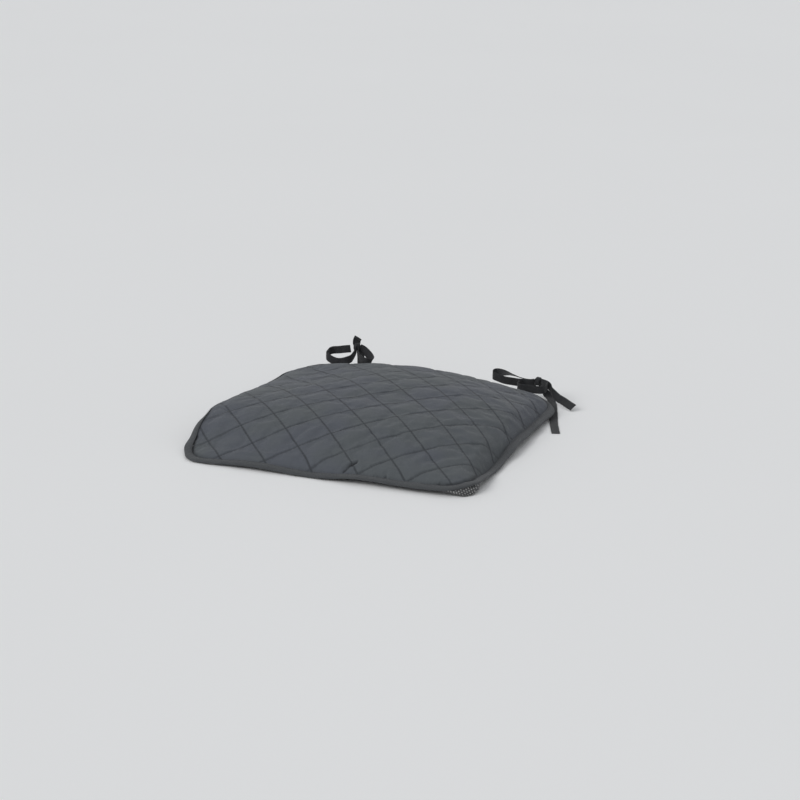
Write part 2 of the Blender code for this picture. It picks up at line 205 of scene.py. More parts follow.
class Finish:
    """A Principled material that is built up from sockets."""

    def __init__(self, name, roughness=0.8, **constants):
        self.material = bpy.data.materials.new(name)
        self.material.use_nodes = True
        self.tree = self.material.node_tree
        self.shader = self.tree.nodes["Principled BSDF"]
        self.shader.inputs["Roughness"].default_value = roughness
        for socket, value in constants.items():
            name = socket.replace("_", " ").title().replace("Ior", "IOR")
            self.shader.inputs[name].default_value = value

    def node(self, kind, settings=None, *values, output=0, **named):
        """Adds a node, sets it up, and fills its sockets by place or by name."""
        made = self.tree.nodes.new(kind)
        for name, value in (settings or {}).items():
            setattr(made, name, value)
        for socket, value in list(enumerate(values)) + list(named.items()):
            key = socket.replace("_", " ") if isinstance(socket, str) else socket
            self.feed(made.inputs[key], value)
        return Socket(self, made.outputs[output])

    def feed(self, socket, value):
        if isinstance(value, Socket):
            self.tree.links.new(value.output, socket)
        elif value is not None:
            flat_colour = socket.type == "RGBA" and len(value) == 3
            socket.default_value = (*value, 1.0) if flat_colour else value

    def place(self):
        """Where on the piece, in metres, as three values."""
        spot = self.node("ShaderNodeTexCoord", output="Object")
        return spot, [self.node("ShaderNodeSeparateXYZ", None, spot, output=axis) for axis in "XYZ"]

    def noise(self, spot, scale, detail=2.0, rough=0.5):
        return self.node("ShaderNodeTexNoise", None, Vector=spot, Scale=scale, Detail=detail,
                         Roughness=rough)

    def mix(self, factor, first, second):
        other_kinds = [None] * 5
        return self.node("ShaderNodeMix", {"data_type": "RGBA"}, factor, *other_kinds, first,
                         second, output=2)

    def colour(self, value):
        self.feed(self.shader.inputs["Base Color"], value)

    def roughness(self, value):
        self.feed(self.shader.inputs["Roughness"], value)

    def bump(self, height, depth, strength=1.0):
        """Relief of a depth in metres where height goes from 0 to 1."""
        relief = self.node("ShaderNodeBump", None, Strength=strength, Distance=depth,
                           Height=height)
        self.feed(self.shader.inputs["Normal"], relief)


def wave(value, period, start=0.0):
    """A sine of a length, from 0 to 1."""
    return (value * (math.tau / period) + start).sin() * 0.5 + 0.5


def floor_paint():
    paint = Finish("studio_floor", 0.6)
    spot, _ = paint.place()
    shade = paint.noise(spot, 0.7, 3.0)
    paint.colour(paint.mix(shade, (0.90, 0.90, 0.90), (0.93, 0.93, 0.93)))
    return paint.material


def quilt_families():
    """The two families of quilting lines: the way across each, and where its middle line is."""
    for angle in (QUILT_TURN + math.pi / 4, QUILT_TURN - math.pi / 4):
        across = (-math.sin(angle), math.cos(angle))
        yield across, across[0] * QUILT_CENTRE[0] + across[1] * QUILT_CENTRE[1]


def quilt_places(x, y):
    """Where a place is in the quilting, counted in lines, for the two families of lines."""
    return [(x * across[0] + y * across[1] - offset) / QUILT_PITCH
            for across, offset in quilt_families()]


def quilt_lines(x, y):
    """How far the nearest line of quilting is, in metres, and where along the two families."""
    places = quilt_places(x, y)
    gaps = [((a + 0.5) - (a + 0.5).floor() - 0.5).size() * QUILT_PITCH for a in places]
    return gaps, [a * QUILT_PITCH for a in places]


def cover_cloth():
    """Slate grey cotton twill with a soft sheen, puckered along its quilting, with painted shade in
    its creases.
    """
    cloth = Finish("cover_cloth", 0.72, sheen_weight=0.17, sheen_roughness=0.38,
                   specular_ior_level=0.32)
    spot, (x, y, _) = cloth.place()
    gaps, along = quilt_lines(x, y)
    near = gaps[0].least(gaps[1])
    crisp, soft = gaps[1].ramp(0.0022, 0.0003), gaps[0].ramp(0.0034, 0.0004) * 0.62
    crease = crisp.most(soft)
    gathers = (wave(along[1], 0.0064) * gaps[0].ramp(0.009, 0.001)
               + wave(along[0], 0.0071) * gaps[1].ramp(0.009, 0.001))
    pucker = near.ramp(0.011, 0.001) * gathers
    drift = cloth.noise(spot, 13.0, 2.0).ramp(0.36, 0.64)
    mottle = cloth.noise(spot, 150.0, 3.0, 0.6)
    drawn_out = cloth.node("ShaderNodeMapping", None, Vector=spot, Scale=(0.6, 5.0, 1.0))
    slub = cloth.noise(drawn_out, 420.0, 2.0, 0.6)
    base = cloth.mix(drift, (0.0870, 0.0950, 0.1130), (0.0900, 0.1000, 0.1070))
    base = cloth.mix(mottle.ramp(0.3, 0.8) * 0.35, base, (0.075, 0.083, 0.093))
    base = cloth.mix(slub.ramp(0.55, 0.8) * 0.22, base, (0.135, 0.147, 0.160))
    # Painted shade: the crease mask darkens the colour along the quilting lines, crisp on one family
    # and softer on the other.
    base = cloth.mix(crease * 0.62, base, (0.020, 0.023, 0.028))
    # Painted shade read from the mesh: near black in the crevice along the binding's seam and along
    # the tucks.
    painted_crevice_shade = cloth.node("ShaderNodeAttribute", {"attribute_name": "painted_crevice_shade"}, output="Fac")
    base = cloth.mix(painted_crevice_shade * 0.92, base, (0.008, 0.009, 0.012))
    cloth.colour(base)
    cloth.roughness(mottle * 0.14 + 0.66)
    twill = wave(x + y * 0.62, 0.00062) * wave(x * 0.5 - y, 0.00048)
    fuzz = cloth.noise(spot, 1900.0, 2.0, 0.6)
    creased = cloth.node("ShaderNodeMapping", None, Vector=spot, Scale=(1.0, 0.55, 1.0))
    crumple = cloth.noise(creased, 62.0, 3.0, 0.55)
    height = twill * 0.055 + fuzz * 0.05 + pucker * 0.20 + crumple * 0.26 - crease * 0.28
    cloth.bump(height, 0.0016, 0.75)
    return cloth.material


def binding_cloth():
    """Dark grey twill tape, slightly warmer than the cover, worn paler in scattered patches."""
    tape = Finish("binding_cloth", 0.8, sheen_weight=0.16, sheen_roughness=0.45,
                  specular_ior_level=0.3)
    spot, (x, y, z) = tape.place()
    drift = tape.noise(spot, 22.0, 3.0)
    base = tape.mix(drift.ramp(0.3, 0.7), (0.0580, 0.0620, 0.0675), (0.0670, 0.0715, 0.0755))
    rub = tape.noise(spot, 260.0, 3.0, 0.65).ramp(0.56, 0.74)
    tape.colour(tape.mix(rub * 0.25, base, (0.110, 0.115, 0.122)))
    tape.roughness(drift * 0.12 + 0.74)
    ribs = wave(x + y + z * 1.3, 0.00125) * wave(x - y, 0.0007)
    fuzz = tape.noise(spot, 1500.0, 2.0, 0.6)
    ripple = tape.noise(spot, 120.0, 2.0)
    tape.bump(ribs * 0.34 + fuzz * 0.16 + ripple * 0.5, 0.0007, 0.8)
    return tape.material


def backing_knit():
    """Dark knit with rows of small pale raised non-slip dots."""
    knit = Finish("backing_knit", 0.75, sheen_weight=0.1, sheen_roughness=0.5)
    spot, (x, y, z) = knit.place()
    row = y + z * 0.9
    high, wide = 0.0043, 0.0040
    stagger = (row / high).floor() * 0.5
    across = x / wide + (stagger - stagger.floor())
    gap_x = (across - across.floor() - 0.5) * wide
    gap_y = (row / high - (row / high).floor() - 0.5) * high
    lean = gap_x + gap_y * 0.35
    dot = (lean * lean * 3.2 + gap_y * gap_y).root().ramp(0.00150, 0.00100)
    loops = wave(x, 0.0011) * wave(y + wave(x, 0.0011) * 0.0004, 0.0009)
    tone = knit.noise(spot, 90.0, 3.0)
    base = knit.mix(tone.ramp(0.3, 0.7), (0.060, 0.060, 0.063), (0.085, 0.085, 0.088))
    base = knit.mix(loops * 0.35, base, (0.120, 0.120, 0.122))
    knit.colour(knit.mix(dot * 0.85, base, (0.56, 0.56, 0.55)))
    knit.roughness(0.82 - dot * 0.35)
    knit.bump(loops * 0.25 + dot * 0.6 + tone * 0.15, 0.0007, 0.9)
    return knit.material


def tie_tape():
    """Near-black twill tape with diagonal ribs and a firm edge."""
    tape = Finish("tie_tape", 0.78, sheen_weight=0.12, sheen_roughness=0.45,
                  specular_ior_level=0.3)
    spot, (x, y, z) = tape.place()
    tone = tape.noise(spot, 160.0, 3.0, 0.6)
    base = tape.mix(tone.ramp(0.3, 0.72), (0.0255, 0.0262, 0.0290), (0.0400, 0.0408, 0.0435))
    ribs = wave(x * 0.9 + y * 0.7 + z * 1.15, 0.00105)
    tape.colour(tape.mix(ribs * 0.35, base, (0.0160, 0.0165, 0.0185)))
    tape.roughness(tone * 0.14 + 0.70)
    fuzz = tape.noise(spot, 1700.0, 2.0, 0.6)
    tape.bump(ribs * 0.5 + fuzz * 0.2 + tone * 0.3, 0.00035, 0.9)
    return tape.material


def sewing_thread():
    """Dark twisted polyester thread."""
    thread = Finish("sewing_thread", 0.55, sheen_weight=0.1)
    spot, (x, y, z) = thread.place()
    twist = wave(x + y * 1.1 + z * 1.7, 0.00055)
    tone = thread.noise(spot, 60.0, 2.0)
    base = thread.mix(tone, (0.030, 0.033, 0.038), (0.048, 0.052, 0.058))
    thread.colour(thread.mix(twist * 0.3, base, (0.085, 0.090, 0.098)))
    thread.roughness(twist * 0.2 + 0.45)
    thread.bump(twist, 0.00012, 0.8)
    return thread.material


# ---------------------------------------------------------------- meshes
def mesh_piece(name, points, faces, smooth=False):
    mesh = bpy.data.meshes.new(name)
    mesh.from_pydata([tuple(point) for point in points], [], faces)
    mesh.validate()
    if smooth:
        mesh.shade_smooth()
    return put_in_scene(name, mesh)


def tube_faces(rings, around, closed=False):
    """Faces between rings of points, and from the last ring to the first where it's closed."""
    return [(k * around + i, k * around + (i + 1) % around,
             (k + 1) % rings * around + (i + 1) % around, (k + 1) % rings * around + i)
            for k in range(rings if closed else rings - 1) for i in range(around)]


def end_faces(rings, around):
    return [tuple(reversed(range(around))), tuple(range((rings - 1) * around, rings * around))]


def face_outward(piece):
    repair = bmesh.new()
    repair.from_mesh(piece.data)
    bmesh.ops.recalc_face_normals(repair, faces=repair.faces[:])
    repair.to_mesh(piece.data)
    repair.free()


def soften(piece):
    """Rounds a coarse mesh by one step of subdivision."""
    rounding = piece.modifiers.new("soft", "SUBSURF")
    rounding.levels = rounding.render_levels = 1
    apply_modifiers(piece)


def positions(piece):
    places = np.zeros(len(piece.data.vertices) * 3)
    piece.data.vertices.foreach_get("co", places)
    return places.reshape(-1, 3)


def set_positions(piece, places):
    piece.data.vertices.foreach_set("co", np.asarray(places, float).ravel())
    piece.data.update()


def belongs(piece, body, slot, material, *nodes):
    """Gives a piece its cloth and its body, and hides the CAD nodes that it stands for."""
    piece.data.materials.clear()
    piece.data.materials.append(material)
    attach(piece, body)
    if nodes:
        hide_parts(*nodes)
    return piece


def unit(rows):
    return rows / np.maximum(np.linalg.norm(rows, axis=1), 1e-12)[:, None]


def waver(x, y, seed):
    """A smooth wobble between about -1 and 1 over the plan, the same for the same seed."""
    chance = np.random.default_rng(seed)
    total = np.zeros(np.broadcast(x, y).shape)
    for period in (0.21, 0.13, 0.083, 0.052):
        angle, start = chance.uniform(0.0, math.tau, 2)
        total += np.sin((x * math.cos(angle) + y * math.sin(angle)) * math.tau / period + start)
    return total / 2.6


# ---------------------------------------------------------------- the pad's form
def weights(stations, at):
    """Rows of weights that carry values at the stations along a smooth curve."""
    stations = np.array(stations)
    last = len(stations) - 1
    at = np.clip(at, stations[0], stations[-1])
    left = np.clip(np.searchsorted(stations, at) - 1, 0, last - 1)
    rows = np.arange(len(at))
    run = stations[left + 1] - stations[left]
    t = (at - stations[left]) / run
    found = np.zeros((len(at), last + 1))
    found[rows, left] += 2 * t ** 3 - 3 * t ** 2 + 1
    found[rows, left + 1] += 3 * t ** 2 - 2 * t ** 3
    for end, share in ((left, t ** 3 - 2 * t ** 2 + t), (left + 1, t ** 3 - t ** 2)):
        low, high = np.maximum(end - 1, 0), np.minimum(end + 1, last)
        slope = share * run / (stations[high] - stations[low])
        found[rows, high] += slope
        found[rows, low] -= slope
    return found


def crown(x, y):
    """Height of the sewn lines of the upper side over a place in plan."""
    at = weights(ALONG, y)
    middle, side = at @ MIDDLE_MM, np.where(x < 0, at @ LEFT_MM, at @ RIGHT_MM)
    full = np.where(x < 0, at @ LEFT_FULL, at @ RIGHT_FULL)
    out = np.minimum(np.abs(x) / HALF_WIDTH, 1.0)
    return (middle + (side - middle) * out ** full) * 0.001


def outline(count, inset=0.0):
    """Places round the pad's edge, evenly spaced, with the directions out of it."""
    straight_x, straight_y = 2 * (HALF_WIDTH - CORNER), 2 * (HALF_DEPTH - CORNER)
    arc = CORNER * math.pi / 2
    runs = (straight_y, arc, straight_x, arc, straight_y, arc, straight_x, arc)
    total = sum(runs)
    places, outs = [], []
    for k in range(count):
        at = total * k / count
        piece = 0
        while at > runs[piece]:
            at -= runs[piece]
            piece += 1
        quarter = piece // 2
        sx, sy = ((1, 1), (-1, 1), (-1, -1), (1, -1))[quarter]
        turn = math.pi / 2 * quarter + (at / CORNER if piece % 2 else 0.0)
        out = Vector((math.cos(turn), math.sin(turn)))
        centre = Vector((sx * (HALF_WIDTH - CORNER), sy * (HALF_DEPTH - CORNER)))
        spot = centre + out * CORNER
        if piece % 2 == 0:
            ahead = Vector((-out.y, out.x))
            spot -= ahead * (runs[piece] - at)
        places.append(spot - out * inset)
        outs.append(out)
    return np.array(places), np.array(outs)


def inside_edge(x, y):
    """How far inside the pad's edge a place is, with the nearest place on the edge and the
    direction out of it."""
    over_x = np.abs(x) - (HALF_WIDTH - CORNER)
    over_y = np.abs(y) - (HALF_DEPTH - CORNER)
    corner = (over_x > 0) & (over_y > 0)
    reach = np.hypot(np.maximum(over_x, 0), np.maximum(over_y, 0))
    depth = CORNER - np.where(corner, reach, np.maximum(over_x, over_y))
    side = over_x > over_y
    out_x = np.where(corner, over_x / np.maximum(reach, 1e-9), side) * np.sign(x)
    out_y = np.where(corner, over_y / np.maximum(reach, 1e-9), ~side) * np.sign(y)
    return depth, x + out_x * depth, y + out_y * depth, out_x, out_y


def round_edge(x, y):
    """The fold's height, the seam's height and its inset at a place on the edge, in metres."""
    stations = np.array(EDGE_MM) * 0.001
    turns = np.arctan2(stations[:, 1], stations[:, 0]) % math.tau
    order = np.argsort(turns)
    turns, values = turns[order], stations[order, 2:]
    turns = np.concatenate((turns[-3:] - math.tau, turns, turns[:3] + math.tau))
    values = np.concatenate((values[-3:], values, values[:3]))
    return (weights(turns, np.arctan2(y, x) % math.tau) @ values).T


def smooth(value, low=0.0, high=1.0):
    share = np.clip((value - low) / (high - low), 0.0, 1.0)
    return share * share * (3 - 2 * share)


def near_place(x, y, centre_x, centre_y, reach):
    """1 at a place in plan, and fading to nothing beyond a reach from it."""
    return np.exp(-((x - centre_x) ** 2 + (y - centre_y) ** 2) / reach ** 2)


def plan(x, y):
    """Draws a place in plan inward where the laid pad's outline is: at its front left corner
    and along its right side."""
    pull = near_place(x, y, -0.226, -0.200, 0.045)
    side = smooth(x, 0.150, 0.230) * smooth(y, -0.215, -0.150)
    return x + 0.0095 * pull - 0.0030 * side, y + 0.0015 * pull


def drape(u, v, under=False):
    """Where a place of the flat pad goes: its upper side, or the lowest ply's lower face."""
    depth, edge_u, edge_v, out_u, out_v = inside_edge(u, v)
    fold, seam, inset = round_edge(edge_u, edge_v)
    inner = depth > SEAM
    slide = (SEAM - inset) * (1 - smooth(depth, SEAM, 0.062))
    along_leg = np.clip(depth / SEAM, 0.0, 1.0)
    shift = np.where(inner, slide, depth - inset * along_leg)
    height = fold + (seam - fold) * along_leg
    steep = np.hypot(inset, seam - fold)
    tilt_out, tilt_up = (seam - fold) / steep, inset / steep
    if under:
        share = np.sin(np.clip((depth - SEAM) / REST_REACH, 0.0, 1.0) * math.pi / 2)
        height = height + (REST_HEIGHT - seam + RIM_DEPTH) * share
        shift = shift - RIM_DEPTH * tilt_out * (1 - share)
        height = height - RIM_DEPTH * np.where(inner, tilt_up * (1 - share) + share, tilt_up)
    else:
        rise = np.clip((depth - SEAM) / 0.021, 0.0, 1.0)
        rise = np.sin(rise * math.pi / 2)
        height = height + (crown(u, v) - seam) * rise
    x, y = plan(u + out_u * shift, v + out_v * shift)
    return x, y, height


def leg_places(count, reach, lift):
    """Places round the edge on the folded binding, so far in from its fold and out of it."""
    u, v, outs = rim_places(count)
    fold, seam, inset = round_edge(u, v)
    steep = np.hypot(inset, seam - fold)
    in_share, up_share = inset / steep, (seam - fold) / steep
    shift = -in_share * reach + up_share * lift
    x, y = plan(u + outs[:, 0] * shift, v + outs[:, 1] * shift)
    return x, y, fold + up_share * reach + in_share * lift, outs


def to_line(a):
    return np.abs(a - np.round(a))


def gridded_sheet(name, inset, spacing):
    """A flat sheet inside the outline, cut into cells along the directions of the quilting."""
    sheet = bmesh.new()
    edge, _ = outline(220, inset)
    sheet.faces.new([sheet.verts.new((px, py, 0.0)) for px, py in edge])
    reach = math.hypot(HALF_WIDTH, HALF_DEPTH)
    for across, offset in quilt_families():
        aside = Vector((*across, 0.0))
        for number in range(-int(reach / spacing) - 1, int(reach / spacing) + 2):
            everything = sheet.verts[:] + sheet.edges[:] + sheet.faces[:]
            bmesh.ops.bisect_plane(sheet, geom=everything, dist=1e-7, plane_no=aside,
                                   plane_co=aside * (number * spacing + offset))
    bmesh.ops.remove_doubles(sheet, verts=sheet.verts[:], dist=spacing * 0.12)
    mesh = bpy.data.meshes.new(name)
    sheet.to_mesh(mesh)
    sheet.free()
    mesh.shade_smooth()
    return put_in_scene(name, mesh)


# ---------------------------------------------------------------- quilted cover
def puff_shape(x, y):
    """0 on the lines of quilting and up to 1 between them."""
    first, second = quilt_places(x, y)
    return np.sqrt(np.abs(np.sin(np.pi * first)) * np.abs(np.sin(np.pi * second)))


def quilted_cover():
    """The upper side: sewn down on its lines and seam, and puffed out by its filling."""
    cover = gridded_sheet("quilted_cover", 0.0026, QUILT_PITCH / QUILT_CELLS)
    flat = positions(cover)
    u, v = flat[:, 0].copy(), flat[:, 1].copy()
    depth = inside_edge(u, v)[0]
    first, second = quilt_places(u, v)
    step = 0.35 / QUILT_CELLS
    sewn = (to_line(first) < step) | (to_line(second) < step)
    pressed = depth < SEAM + 0.0004
    gap = gaping(u, v)
    rise = np.clip((depth - SEAM) / (0.0070 - 0.0035 * gap), 0.0, 1.0)
    puff = puff_shape(u, v) * rise
    x, y, z = drape(u, v)
    z += puff * 0.0009 - (1 - rise) * (0.0012 + 0.0012 * gap) - tucks(u, v)
    places = np.stack((x, y, z), 1)
    set_positions(cover, places)
    # Painted shade for the cloth's colour: a dark band at the cover's foot along the binding's seam,
    # widest and darkest where the binding gapes at the front corners, and along the tucks.
    shade = np.exp(-((depth - SEAM - 0.0004) / (0.0019 + 0.0010 * gap)) ** 2)
    shade *= 0.25 + 0.75 * np.minimum(gap * 1.5, 1)
    shade = np.maximum(shade, smooth(tucks(u, v), 0.0009, 0.0021))
    cover.data.attributes.new("painted_crevice_shade", "FLOAT", "POINT").data.foreach_set("value", shade)
    simulate(cover, (sewn | pressed).astype(float), places)
    thicken(cover, COVER_THICKNESS)
    return cover


# Tucks and folds in the cover: two ends in the flat pad, how deep and how wide, all in mm.
TUCKS_MM = (
    (36, -205, 49, -190, 2.6, 2.6), (84, -209, 100, -208, 1.8, 2.4), (99, -208, 97, -200, 1.2, 2.4),
    (176, -207, 188, -206, 2.2, 2.6), (188, -206, 193, -200, 1.2, 2.2),
    (20, -160, 44, -126, 0.9, 6.0), (66, -150, 82, -120, 0.9, 6.0), (118, -164, 136, -130, 0.8, 6.0),
    (60, -100, 66, -82, 0.6, 5.0), (150, -160, 176, -138, 0.8, 6.0), (142, -60, 172, -30, 0.7, 6.0),
    (-64, -160, -48, -128, 0.6, 6.0), (60, 208, 150, 203, 0.9, 4.0), (120, 197, 196, 188, 1.2, 4.0),
    (160, 185, 205, 170, 0.8, 4.0), (100, 130, 130, 150, 0.6, 6.0), (188, 40, 208, 66, 0.8, 5.0),
    (176, -20, 204, -2, 0.8, 5.0), (-100, 40, -80, 62, 0.5, 6.0), (-190, -60, -172, -36, 0.6, 5.0),
)


def tucks(u, v):
    total = np.zeros(len(u))
    for u0, v0, u1, v1, deep, wide in TUCKS_MM:
        run = np.array((u1 - u0, v1 - v0)) * 0.001
        share = ((u - u0 * 0.001) * run[0] + (v - v0 * 0.001) * run[1]) / (run @ run)
        share = np.clip(share, 0.0, 1.0)
        away = np.hypot(u - u0 * 0.001 - run[0] * share, v - v0 * 0.001 - run[1] * share)
        away = away / (wide * 0.001)
        total += (np.exp(-away ** 2) - 0.45 * np.exp(-(away - 2.0) ** 2)) * deep * 0.001
    return total


def gaping(u, v):
    """How far the binding stands off the quilting, which is most at the two front corners."""
    return np.maximum(near_place(u, v, -0.208, -0.185, 0.036),
                      near_place(u, v, 0.200, -0.190, 0.036))


def simulate(cover, held, rest):
    """Fills the cover from below with its sewn lines held, then keeps what it settles to."""
    group = cover.vertex_groups.new(name="sewn")
    for index in np.flatnonzero(held):
        group.add([int(index)], 1.0, "REPLACE")
    cloth = cover.modifiers.new("filling", "CLOTH")
    settings = cloth.settings
    settings.quality = 6
    settings.mass = 0.12
    settings.tension_stiffness = 22.0
    settings.compression_stiffness = 22.0
    settings.shear_stiffness = 9.0
    settings.bending_stiffness = 0.35
    settings.air_damping = 3.0
    settings.vertex_group_mass = "sewn"
    settings.shrink_min = -0.014
    settings.use_pressure = True
    settings.uniform_pressure_force = 1.25
    settings.effector_weights.gravity = 0.0
    cloth.collision_settings.use_collision = False
    scene = bpy.context.scene
    scene.frame_start, scene.frame_end = 1, SETTLING_FRAMES
    for number in range(1, SETTLING_FRAMES + 1):
        scene.frame_set(number)
    settled = positions(cover.evaluated_get(bpy.context.evaluated_depsgraph_get()))
    cover.modifiers.remove(cloth)
    cover.vertex_groups.clear()
    move = settled - rest
    length = np.linalg.norm(move, axis=1)
    move *= (MOST_PUFF * np.tanh(length / MOST_PUFF) / np.maximum(length, 1e-9))[:, None]
    set_positions(cover, rest + move)
    scene.frame_set(1)


def thicken(piece, thickness, offset=-1.0):
    wall = piece.modifiers.new("thickness", "SOLIDIFY")
    wall.thickness = thickness
    wall.offset = offset
    apply_modifiers(piece)


def apply_modifiers(piece):
    bpy.context.view_layer.update()
    graph = bpy.context.evaluated_depsgraph_get()
    mesh = bpy.data.meshes.new_from_object(piece.evaluated_get(graph))
    piece.modifiers.clear()
    piece.data = mesh
    mesh.shade_smooth()


# ---------------------------------------------------------------- backing
def backing_sheet():
    """The underside: raised at the rim, at rest in the middle, slack at the front right."""
    sheet = gridded_sheet("backing_sheet", 0.0030, 0.0052)
    flat = positions(sheet)
    u, v = flat[:, 0].copy(), flat[:, 1].copy()
    depth, _, _, out_u, out_v = inside_edge(u, v)
    x, y, z = drape(u, v, under=True)
    z += 0.0009
    corner = np.minimum(near_place(u, v, 0.219, -0.213, 0.036) * 1.25, 1.0)
    drop = corner * smooth(depth, 0.0035, 0.0115)
    push = corner * smooth(depth, 0.0030, 0.0100) * (1 - smooth(depth, 0.013, 0.040)) * 0.0130
    x, y = x + (0.5 * out_u + 0.55) * push, y + 0.75 * out_v * push
    z = z * (1 - drop) + REST_HEIGHT * drop
    free = smooth(depth, SEAM, SEAM + 0.02) * (1 - smooth(depth, 0.040, 0.066))
    z += free * waver(u * 1.6, v * 1.6, 11) * 0.0012
    set_positions(sheet, np.stack((x, y, np.maximum(z, REST_HEIGHT)), 1))
    thicken(sheet, 0.0006, 1.0)
    return sheet


# ---------------------------------------------------------------- binding
def rim_places(count):
    places, outs = outline(count)
    return places[:, 0], places[:, 1], outs


def edge_binding():
    """The tape folded over the edge: a leg above, a leg below, and a soft fold between."""
    count = 420
    fold, wall, deep = RIM_DEPTH / 2, 0.0009, -RIM_DEPTH
    profile = ((LEG, 0.0003), (LEG * 0.75, 0.0006), (LEG * 0.5, 0.0009), (fold * 1.4, 0.0004),
               (fold * 0.35, -0.0005), (0.0, -fold), (fold * 0.35, deep + 0.0005),
               (fold * 1.4, deep), (LEG * 0.5, deep - 0.0003), (LEG, deep), (LEG, deep + wall),
               (LEG * 0.5, deep + wall), (fold * 1.4, deep + wall), (fold, -fold),
               (fold * 1.4, -wall), (LEG * 0.5, -wall), (LEG, -wall))
    u, v, _ = rim_places(count)
    ripple = waver(u * 2.3, v * 2.3, 3)
    rings = []
    for reach, lift in profile:
        x, y, z, outs = leg_places(count, reach, lift)
        push = ripple * 0.0009 * (1 - reach / LEG)
        rings.append(np.stack((x + outs[:, 0] * push, y + outs[:, 1] * push,
                               np.maximum(z + ripple * 0.00035, 0.0003)), 1))
    faces = [face[::-1] for face in tube_faces(len(rings), count, closed=True)]
    binding = mesh_piece("binding_tape", np.concatenate(rings), faces, True)
    soften(binding)
    return binding


# ---------------------------------------------------------------- stitching
def stitched(name, spots, aheads, ups, length, width):
    """A stitch at each spot: a short thread that dives into the cloth at both ends."""
    around = 6
    stations = ((-0.5, 0.15, -0.9), (-0.38, 0.8, -0.1), (-0.15, 1.0, 0.35), (0.15, 1.0, 0.35),
                (0.38, 0.8, -0.1), (0.5, 0.15, -0.9))
    asides = np.cross(ups, aheads)
    rings = []
    for share, girth, lift in stations:
        for k in range(around):
            angle = math.tau * k / around
            rings.append(spots + aheads * (share * length)
                         + asides * (math.cos(angle) * girth * width / 2)
                         + ups * ((math.sin(angle) * girth * 0.8 + lift) * width / 2))
    points = np.stack(rings, 1)
    size = points.shape[1]
    one = tube_faces(len(stations), around) + end_faces(len(stations), around)
    faces = [tuple(v + size * n for v in face) for n in range(len(spots)) for face in one]
    return mesh_piece(name, points.reshape(-1, 3), faces, True)


def surface_frame(u, v, ahead_u, ahead_v, lift):
    """Spots on the crown with the direction along the stitching and out of the cloth."""
    tiny = 0.0012
    spots = np.stack(drape(u, v), 1)
    ahead = unit(np.stack(drape(u + ahead_u * tiny, v + ahead_v * tiny), 1) - spots)
    aside = unit(np.stack(drape(u - ahead_v * tiny, v + ahead_u * tiny), 1) - spots)
    up = unit(np.cross(ahead, aside))
    return spots + up * lift, ahead, up


def quilting_stitches():
    pitch, reach = 0.0034, math.hypot(HALF_WIDTH, HALF_DEPTH)
    found = []
    lines = int(reach / QUILT_PITCH)
    steps = (np.arange(-int(reach / pitch), int(reach / pitch)) + 0.5) * pitch
    for across, _ in quilt_families():
        aside = np.array(across)
        ahead = np.array((across[1], -across[0]))
        for number in range(-lines, lines + 1):
            line = np.array(QUILT_CENTRE) + aside * number * QUILT_PITCH
            spots = line + ahead * steps[:, None]
            kept = spots[inside_edge(spots[:, 0], spots[:, 1])[0] > SEAM + 0.002]
            found.append(np.hstack((kept, np.tile(ahead, (len(kept), 1)))))
    u, v, ahead_u, ahead_v = np.concatenate(found).T
    return stitched("quilting_stitches", *surface_frame(u, v, ahead_u, ahead_v, 0.0002),
                    0.0026, 0.00042)


def binding_stitches():
    count, reach = 520, LEG * 0.80
    spots, level, above = (np.stack(leg_places(count, reach, lift)[:3], 1)
                           for lift in (0.00085, 0.0010, 0.0020))
    ahead = unit(np.roll(spots, -1, 0) - np.roll(spots, 1, 0))
    return stitched("binding_stitches", spots, ahead, unit(above - level), 0.0025, 0.0005)


# ---------------------------------------------------------------- tape ties
LEFT_ANCHOR = np.array((-0.150, 0.225, 0.0))
RIGHT_ANCHOR = np.array((0.172, 0.225, 0.0))
TAPE_WIDTH = 0.0125
TAPE_THICKNESS = 0.0010
TAPE_CUP = 0.0004
UP = (0.0, 0.0, 1.0)

# Each route is a list of points from its anchor, with the direction across the tape.
LEFT_BAND = (
    ((0.0110, 0.0300, 0.0500), UP), ((0.0020, 0.0290, 0.0485), UP),
    ((-0.0090, 0.0287, 0.0465), UP), ((-0.0185, 0.0275, 0.0450), UP),
    ((-0.0222, 0.0225, 0.0440), UP), ((-0.0224, 0.0140, 0.0428), UP),
    ((-0.0214, 0.0060, 0.0412), UP), ((-0.0165, 0.0018, 0.0395), UP),
    ((-0.0080, 0.0009, 0.0362), UP), ((0.0000, 0.0009, 0.0345), UP),
    ((0.0080, 0.0009, 0.0355), UP), ((0.0165, 0.0018, 0.0385), UP),
    ((0.0214, 0.0060, 0.0405), UP), ((0.0224, 0.0130, 0.0435), UP),
    ((0.0222, 0.0195, 0.0460), UP), ((0.0215, 0.0270, 0.0500), UP),
    ((0.0205, 0.0325, 0.0540), (0.3, 0.1, 1.0)), ((0.0195, 0.0350, 0.0595), (0.75, 0.3, 0.5)),
    ((0.0200, 0.0350, 0.0640), (0.75, 0.25, -0.60)),
    ((0.0215, 0.0330, 0.0665), (0.75, 0.25, -0.60)),
    ((0.0240, 0.0300, 0.0700), (0.75, 0.25, -0.60)),
)
LEFT_KNOT = np.array((0.0210, 0.0330, 0.0530))
LEFT_LOOP = (
    ((0.0255, 0.0335, 0.0520), (0.2, 0.25, 1.0)),
    ((0.0315, 0.0330, 0.0500), (0.2, 0.25, 1.0)), ((0.0370, 0.0310, 0.0475), (0.5, 0.25, 0.8)),
    ((0.0440, 0.0275, 0.0430), (0.7, 0.25, 0.66)), ((0.0500, 0.0220, 0.0385), (0.6, 0.2, 0.7)),
    ((0.0530, 0.0150, 0.0360), (0.3, 0.0, 1.0)), ((0.0490, 0.0100, 0.0365), UP),
    ((0.0400, 0.0110, 0.0385), UP), ((0.0320, 0.0165, 0.0415), UP),
    ((0.0275, 0.0225, 0.0440), UP), ((0.0245, 0.0290, 0.0480), UP),
)
